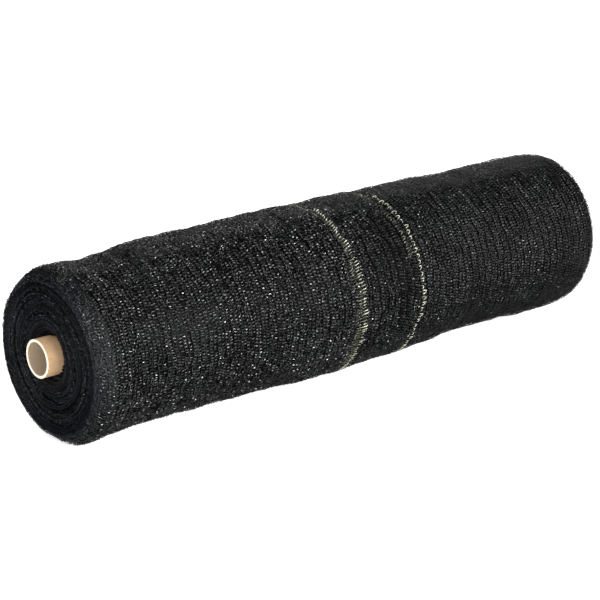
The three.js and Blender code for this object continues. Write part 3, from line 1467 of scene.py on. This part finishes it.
@dataclass
class PaleStripe:
    """A stripe of pale tape that goes to and fro round the roll in hooks.

    A field that ends in rows is how many rows of the tape a random change is spread over, and
    top_knot is the knot of the way above which the tape gets no brighter: the tape is painted darker, as
    shade, where its way dips lower.
    """

    form: RollForm
    name: str
    knit: Knit
    run: float
    courses: tuple[Course, ...]
    way: tuple[ThreadPoint, ...]
    start: float = 9
    sweep: float = 367
    rows_in_cycle: int = 24
    sides: int = 6
    half_width: float = 0.55
    half_height: float = 0.32
    cycle: float = 9.4
    shake: float = 1.4
    shake_rate: float = 1.1
    shake_round: float = 0.6
    width_change: float = 0.25
    width_rows: float = 3
    tone: float = 0.36
    tone_change: float = 0.42
    tone_rows: float = 6
    shade_by_height: float = 0.4
    spread_change: float = 0.5
    spread_rows: float = 11
    lift_change: float = 0.9
    lift_rows: float = 17
    top_knot: int = 3
    seed: int = 5

    def build(self, material: bpy.types.Material) -> None:
        """Builds the stripe.

        Args:
            material: the piece's finish.
        """
        piece = self._straight()
        points = read_points(piece.data)
        side = np.arctan2(points[:, 1], points[:, 0])
        row = np.rint(points[:, 2])
        centre = self._centre(row)
        ahead = self._centre(row + 0.5) - self._centre(row - 0.5)
        heading = ahead / np.linalg.norm(ahead, axis=1, keepdims=True)
        flat = np.stack([-heading[:, 1], heading[:, 0], np.zeros(len(row))], axis=-1)
        change = self.width_change * soft_random(row / self.width_rows, self.seed + 3)
        width = self.half_width * (1 + change)
        offset = flat * (np.cos(side) * width)[:, None]
        height = centre[:, 2] + np.sin(side) * self.half_height + offset[:, 2]
        around = centre[:, 1] + offset[:, 1] + self._lead()
        angle = self.form.free_end_angle + around / self.form.nominal_radius
        lift, shift, level, spread = self._course(np.degrees(angle))
        spread = spread * (1 + self.spread_change * soft_random(row / self.spread_rows, self.seed + 6))
        lift = lift + self.lift_change * soft_random(row / self.lift_rows, self.seed + 7)
        run = self.run + shift + centre[:, 0] * spread + offset[:, 0]
        across, _ = self.knit.wobble(run, around)
        write_points(piece.data, self.form.skin(run + across, angle, lift + height))
        # Random tone along the tape, with painted shade: darker where the tape dips lower, and dimmed by
        # the course's tone round the roll.
        tone = self.tone + self.tone_change * soft_random(row / self.tone_rows, self.seed + 4)
        tone = tone + self.shade_by_height * np.minimum(centre[:, 2], self.way[self.top_knot].height)
        write_values(piece.data, "tone", np.clip(tone, 0, 1) * level)
        Bench.face_out(piece)
        Bench.finish(piece, Slot.STRIPE, "net_roll", material)

    def _course(self, degrees: np.ndarray) -> list[np.ndarray]:
        """Reads the course's lift, shift, tone and spread at each angle.

        Args:
            degrees: angle round the axis, in degrees.

        Returns:
            The four values at each angle.
        """
        places = [c.angle for c in self.courses]
        columns = zip(*((c.lift, c.shift, c.tone, c.spread) for c in self.courses))
        return [np.interp(degrees, places, column) for column in columns]

    def _lead(self) -> float:
        """Works out how far round from the netting's free end the stripe starts."""
        return (math.radians(self.start) - self.form.free_end_angle) * self.form.nominal_radius

    def _straight(self) -> bpy.types.Object:
        """Extrudes a straight tube with a row for each step of the way and closes its ends.

        Returns:
            The tube, which stands on the origin with its rows one apart.
        """
        bpy.ops.object.select_all(action="DESELECT")
        bpy.ops.mesh.primitive_circle_add(vertices=self.sides, radius=1, fill_type="NOTHING")
        piece = Bench.named(self.name)
        with Bench.editing():
            for _ in range(self.rows_in_cycle):
                bpy.ops.mesh.extrude_region_move(TRANSFORM_OT_translate={"value": (0, 0, 1)})
        cycles = math.ceil(self.form.nominal_radius * math.radians(self.sweep) / self.cycle)
        Bench.repeat(piece, cycles, (0, 0, self.rows_in_cycle), weld=True)
        rows = read_points(piece.data)[:, 2]
        for end_row in (0, cycles * self.rows_in_cycle):
            Bench.select_points(piece.data, np.rint(rows) == end_row)
            with Bench.editing(select_all=False):
                bpy.ops.mesh.select_mode(type="VERT")
                bpy.ops.mesh.edge_face_add()
        return piece

    def _centre(self, row: np.ndarray) -> np.ndarray:
        """Works out the middle of the tape at each row: across, around and height.

        Args:
            row: the row's number along the tape.

        Returns:
            The place at each row, in millimetres.
        """
        cycles = row / self.rows_in_cycle
        whole = np.floor(cycles)
        place = (cycles - whole) * len(self.way)
        across = self._curve([p.across for p in self.way], place, 0)
        around = self._curve([p.around for p in self.way], place, self.cycle) + whole * self.cycle
        height = self._curve([p.height for p in self.way], place, 0)
        lap = cycles * self.shake_rate
        across = across + self.shake * soft_random(lap, self.seed)
        around = around + self.shake * self.shake_round * soft_random(lap, self.seed + 1)
        return np.stack([across, around, height], axis=-1)

    @staticmethod
    def _curve(values: list[float], place: np.ndarray, lap: float) -> np.ndarray:
        """Draws a smooth curve through the knots of a repeating way.

        Args:
            values: one coordinate of each knot.
            place: where the curve is read, counted in knots.
            lap: how much the coordinate grows with each repeat.

        Returns:
            The coordinate at each place.
        """
        table = np.array(values, float)
        first = np.floor(place).astype(int)
        numbers = [first + k for k in (-1, 0, 1, 2)]
        knots = [table[n % len(table)] + (n // len(table)) * lap for n in numbers]
        return through_four(knots, place - first)


BLACK_TAPE = TapeFinish("black_tape", dark=(0.003, 0.0033, 0.0034), light=(0.019, 0.020, 0.020))
# A darker, less reflective copy of the black tape for the far bands: painted shade.
SHADED_FAR_TAPE = replace(BLACK_TAPE, name="shaded_far_tape", light=(0.017, 0.018, 0.018), specular=0.3)
# A near-black, barely reflective copy of the tape for the winding and the net below the cover: painted
# shade in the holes.
SHADED_INNER_TAPE = TapeFinish("shaded_inner_tape", (0.001, 0.001, 0.001), (0.002, 0.002, 0.002), specular=0.03)
EDGE_LOOP = TapeFinish("edge_loop", dark=(0.0015, 0.0018, 0.0026), light=(0.03, 0.033, 0.042))
EDGE_TAPE = replace(EDGE_LOOP, name="edge_tape", light=(0.014, 0.0155, 0.02), dull=0.55, specular=0.22)
# The pale tape goes from cream to olive by a tone that is partly random; the olive end stands for the tape
# in shade, so it is painted shade.
PALE_TAPE = TapeFinish("pale_tape", (0.06, 0.062, 0.026), (0.64, 0.64, 0.5), crinkle_depth=0.0003)
# A darker copy of the pale tape for the stripes under the cover: painted shade.
SHADED_PALE_TAPE = replace(PALE_TAPE, name="shaded_pale_tape", dark=(0.02, 0.022, 0.012), light=(0.2, 0.205, 0.13))

UNDER_TAPE = TapeCut("under", 8.0, 1.2, -3.0, 11.0, 1.6, 0.4, 0.2, turn=14, shine=0.3)

DASHES = (
    ThreadPoint(-3.0, 1.8, -4.0),
    ThreadPoint(-2.3, 1.4, -0.5),
    ThreadPoint(0.2, 0.4, 0.8),
    ThreadPoint(2.8, -0.7, 1.5),
    ThreadPoint(3.3, 0.8, -4.2),
    ThreadPoint(-2.4, 5.6, -4.2),
    ThreadPoint(-1.6, 6.0, 0.3),
    ThreadPoint(0.9, 5.1, 0.7),
    ThreadPoint(3.4, 4.4, 1.6),
    ThreadPoint(3.2, 6.0, -4.2),
)
HOOKS = (
    ThreadPoint(-2.6, 0.2, -3.8),
    ThreadPoint(-1.9, -0.6, 0.3),
    ThreadPoint(0.7, -1.0, 1.2),
    ThreadPoint(3.1, -0.4, 1.0),
    ThreadPoint(3.3, 1.4, 0.6),
    ThreadPoint(1.3, 3.0, 1.0),
    ThreadPoint(-0.9, 4.5, 0.3),
    ThreadPoint(-1.4, 5.6, -3.8),
    ThreadPoint(0.0, 7.0, -4.2),
    ThreadPoint(-1.6, 8.6, -4.2),
)
WIDE_BELOW = (
    Course(9, -0.9, 0, 1.0),
    Course(35, -0.9, 0, 1.0),
    Course(80, -0.9, -1.0, 0.9, 1.35),
    Course(112, -0.9, -1.0, 0.8, 1.35),
    Course(140, -0.9, 0, 0.8),
    Course(330, -0.9, 0, 1.0),
    Course(350, -1.8, 0, 0.4),
    Course(377, -2.2, 0, 0.3),
)
ON_TOP = (
    Course(9, -0.9, 0, 1.0),
    Course(60, -0.9, 0, 1.0),
    Course(110, -0.9, 0, 0.8),
    Course(330, -0.9, 0, 1.0),
    Course(350, -1.8, 0, 0.4),
    Course(377, -2.2, 0, 0.3),
)
BELOW_FIRST = (
    Course(20, -2.6, -4, 0.5),
    Course(45, -2.6, -5, 0.7),
    Course(60, -1.9, -10, 0.9, 1.3),
    Course(110, -1.8, -10, 0.9, 1.3),
    Course(145, -2.4, -8, 0.7),
    Course(170, -3.4, -9, 0.3),
)
BELOW_SECOND = (
    Course(12, -2.6, -10, 0.5),
    Course(30, -2.2, -12, 0.8),
    Course(50, -2.2, -13, 0.8),
    Course(66, -2.8, -14, 0.3),
)


@dataclass
class CoreTube:
    """The cardboard tube, with broken edges, plies in its cut ends and a helical seam."""

    centre_y: float
    centre_z: float
    near_x: float
    far_x: float
    radius: float = 29
    wall: float = 4
    overhang: float = 22
    chamfer: float = 0.6
    visible: float = 46
    visible_rows: int = 20
    plies: int = 8
    steps: int = 96
    seam_pitch: float = 62
    seam_depth: float = 0.25
    seam_share: float = 0.02
    fray: float = 0.12
    fray_steps: float = 3
    fray_rows: float = 17
    smooth_angle: float = math.radians(40)
    seed: int = 3

    SURFACE = 0.1

    def build(self, material: bpy.types.Material) -> None:
        """Builds the tube.

        Args:
            material: the piece's finish.
        """
        length = (self.far_x - self.near_x) / MM
        section = self._section(length)
        sheet = SpunSheet.make("card_tube", len(section) + 1, self.steps)
        table = np.array(section)
        here = table[sheet.row % len(section)]
        along, radius = here[:, 0], here[:, 1]
        angle = sheet.share * FULL_TURN
        wind = (along / self.seam_pitch - sheet.share) % 1.0
        seam = np.clip(1 - np.abs(wind - 0.5) / self.seam_share, 0, 1)
        radius = radius - self.seam_depth * seam * (radius > self.radius - self.SURFACE)
        place = sheet.share * self.steps / self.fray_steps + sheet.row * self.fray_rows
        frayed = self.fray * np.abs(soft_random(place, self.seed))
        frayed = np.where((sheet.share > 0) & (sheet.share < 1), frayed, 0)
        along = np.where(along < self.SURFACE, frayed, along)
        along = np.where(along > length - self.SURFACE, length - frayed, along)
        x = self.near_x + along * MM
        y = self.centre_y - radius * np.sin(angle) * MM
        z = self.centre_z + radius * np.cos(angle) * MM
        piece = sheet.lay(np.stack([x, y, z], axis=-1))
        bpy.ops.object.shade_smooth_by_angle(angle=self.smooth_angle)
        Bench.finish(piece, Slot.TUBE, "core_tube", material)

    def _section(self, length: float) -> list[tuple[float, float]]:
        """Lists the section's points, along and radius, once round the wall.

        Args:
            length: the tube's length.

        Returns:
            The points, in millimetres.
        """
        inner = self.radius - self.wall
        near = np.linspace(self.chamfer, self.visible, self.visible_rows)
        outer_along = [*near, length / 2, *(length - near[::-1])]
        cut = np.linspace(inner + self.chamfer, self.radius - self.chamfer, self.plies)
        points = [(0.0, float(r)) for r in cut]
        points += [(float(a), self.radius) for a in outer_along]
        points += [(length, float(r)) for r in cut[::-1]]
        points += [(float(a), inner) for a in outer_along[::-1]]
        return points


@dataclass(frozen=True)
class Perch:
    """A place round the roll, from which a camera or a light looks at it. Metres and degrees."""

    azimuth: float
    elevation: float
    distance: float

    def hold(self, data: bpy.types.ID, target: Vector) -> bpy.types.Object:
        """Adds a camera or a light here, turned to its target.

        Args:
            data: the camera or light.
            target: the point that it is turned to.

        Returns:
            The new object, which has the data's name.
        """
        turn, rise = math.radians(self.azimuth), math.radians(self.elevation)
        way = Vector((math.sin(turn) * math.cos(rise), -math.cos(turn) * math.cos(rise), math.sin(rise)))
        thing = bpy.data.objects.new(data.name, data)
        bpy.context.scene.collection.objects.link(thing)
        thing.location = target + way * self.distance
        thing.rotation_euler = (-way).to_track_quat("-Z", "Y").to_euler()
        return thing


@dataclass(frozen=True)
class SoftLight:
    """A large soft light, with its size in metres and its power in watts."""

    name: str
    perch: Perch
    width: float
    height: float
    power: float

    def build(self, target: Vector) -> None:
        """Adds the light.

        Args:
            target: the point that it is turned to.
        """
        data = bpy.data.lights.new(self.name, "AREA")
        data.shape = "RECTANGLE"
        data.size = self.width
        data.size_y = self.height
        data.energy = self.power
        self.perch.hold(data, target)


@dataclass
class Studio:
    """Camera, pale floor and soft lights. Sizes in metres."""

    target: tuple[float, float, float] = (-0.0391, 0.0005, 0.1159)
    viewpoint: Perch = Perch(-38.68, 19.52, 3.634)
    lens: float = 140.0
    sensor: float = 36.0
    floor_size: float = 14.0
    sky_in_gloss: float = 0.06
    sky_fill: float = 0.95
    floor_tone: tuple[float, float, float, float] = (0.93, 0.93, 0.93, 1)
    floor_in_gloss: tuple[float, float, float, float] = (0.17, 0.17, 0.17, 1)
    floor_glow: float = 0.6
    floor_roughness: float = 0.9
    lights: tuple[SoftLight, ...] = (
        SoftLight("back_light", Perch(142, 20, 3.0), 2.4, 0.5, 21),
        SoftLight("front_light", Perch(6, 12, 2.8), 0.9, 0.7, 72),
        SoftLight("left_light", Perch(-75, 6, 2.6), 0.9, 0.9, 30),
        SoftLight("key_light", Perch(-14, 42, 2.8), 0.6, 0.6, 26),
        SoftLight("low_key_light", Perch(14, 22, 2.8), 0.45, 0.45, 58),
    )

    def build(self) -> None:
        """Adds everything."""
        self._camera()
        self._floor()
        self._sky()
        for light in self.lights:
            light.build(Vector(self.target))
        bpy.context.scene.view_settings.view_transform = "Standard"

    def _camera(self) -> None:
        """Adds the camera at the photo's viewing angle."""
        data = bpy.data.cameras.new("camera")
        data.lens = self.lens
        data.sensor_width = self.sensor
        bpy.context.scene.camera = self.viewpoint.hold(data, Vector(self.target))

    def _floor(self) -> None:
        """Adds the pale floor."""
        bpy.ops.object.select_all(action="DESELECT")
        bpy.ops.mesh.primitive_plane_add(size=self.floor_size)
        floor = Bench.named("floor")
        bench, material, shader = ShaderBench.start("pale_floor")
        mirrored = bench.add("ShaderNodeLightPath").outputs["Is Glossy Ray"]
        bench.feed(shader.inputs["Base Color"], bench.mix(mirrored, self.floor_tone, self.floor_in_gloss))
        seen = bench.add("ShaderNodeLightPath").outputs["Is Camera Ray"]
        bench.feed(shader.inputs["Emission Color"], bench.mix(seen, (0, 0, 0, 1), (1, 1, 1, 1)))
        shader.inputs["Emission Strength"].default_value = self.floor_glow
        shader.inputs["Roughness"].default_value = self.floor_roughness
        floor.data.materials.append(material)

    def _sky(self) -> None:
        """Sets an even white surround."""
        world = bpy.data.worlds.new("surround")
        world.use_nodes = True
        bpy.context.scene.world = world
        bench = ShaderBench(world.node_tree)
        backdrop = world.node_tree.nodes["Background"]
        rays = bench.add("ShaderNodeLightPath").outputs
        mirrored, seen = rays["Is Glossy Ray"], rays["Is Camera Ray"]
        strength = bench.math("MULTIPLY_ADD", mirrored, self.sky_in_gloss, seen)
        strength = bench.math("MULTIPLY_ADD", rays["Is Diffuse Ray"], self.sky_fill, strength)
        backdrop.inputs["Color"].default_value = (1, 1, 1, 1)
        bench.feed(backdrop.inputs["Strength"], strength)


def main() -> None:
    """Builds the roll and its studio, piece by piece."""
    logging.basicConfig(level=logging.INFO, format="%(message)s")
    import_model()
    low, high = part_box("core_tube")
    centre = (low + high) / 2
    tube = CoreTube(centre.y, centre.z, low.x, high.x)
    form = RollForm(centre.y, centre.z, near_x=low.x + tube.overhang * MM)
    Studio().build()
    tape = BLACK_TAPE.material()
    shaded_far_tape = SHADED_FAR_TAPE.material()
    inner = SHADED_INNER_TAPE.material()
    edge = EDGE_TAPE.material()
    loop = EDGE_LOOP.material()
    pale = PALE_TAPE.material()
    shaded_pale = SHADED_PALE_TAPE.material()
    InnerWinding(form).build(inner)
    knit = Knit()
    cover = NetCover(form, knit)
    cover.build(tape, shaded_far_tape)
    under = replace(knit, cuts=(UNDER_TAPE,))
    below = replace(cover, knit=under, name="net_below", columns_in_bands=(sum(cover.columns_in_bands),))
    # The net below takes the same near-black finish, as painted shade.
    below.build(inner, inner)
    FaceTurns(form, End.NEAR).build(edge, loop)
    FaceTurns(
        form, End.FAR, turns=20, crowding=0, rim_out=0.72, rim_gap=0, seed=31, steps=280, loops=1500
    ).build(edge, loop)
    first = PaleStripe(form, "stripe_1", knit, run=458, courses=WIDE_BELOW, way=DASHES)
    second = PaleStripe(form, "stripe_2", knit, run=577, courses=ON_TOP, way=HOOKS, seed=15)
    first.build(pale)
    second.build(pale)
    # The stripes under the cover take the darker copy of the pale tape, as painted shade.
    replace(first, name="stripe_below_1", courses=BELOW_FIRST, start=20, sweep=150, seed=50).build(shaded_pale)
    replace(second, name="stripe_below_2", courses=BELOW_SECOND, start=12, sweep=54, seed=60).build(shaded_pale)
    tube.build(CardFinish("card", tube).material())


if __name__ == "__main__":
    main()
